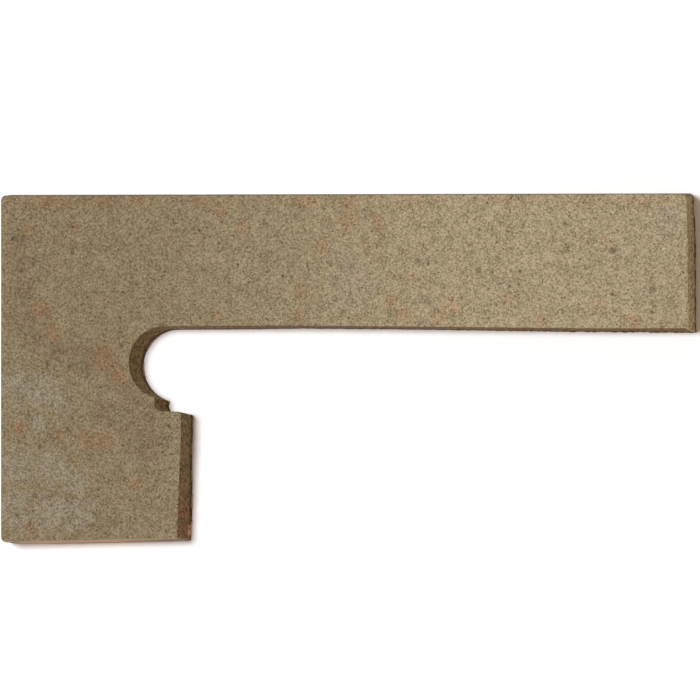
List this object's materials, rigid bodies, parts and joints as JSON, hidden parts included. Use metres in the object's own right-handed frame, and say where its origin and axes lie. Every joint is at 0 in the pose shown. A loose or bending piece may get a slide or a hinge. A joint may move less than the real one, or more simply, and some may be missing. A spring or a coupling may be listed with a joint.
{
  "type": "stair skirting tile",
  "caption": "L-shaped stoneware skirting tile for a stair: the arm runs above the tread, the leg stands beside the riser, and a half-round notch fits the nosing and its lip.",
  "frame": {"origin": "middle of the bounding box, on the back of the tile", "axes": "+X along the arm, away from the square end; +Y up the wall as laid; +Z out of the wearing face"},
  "size_m": [0.4, 0.1999, 0.017],
  "materials": {
    "stoneware": "matt, mottled brown-beige stoneware with fine dark specks; darker, rough cut edges"
  },
  "bodies": {
    "root": {"skirting_tile": "stoneware"}
  },
  "joints": []
}
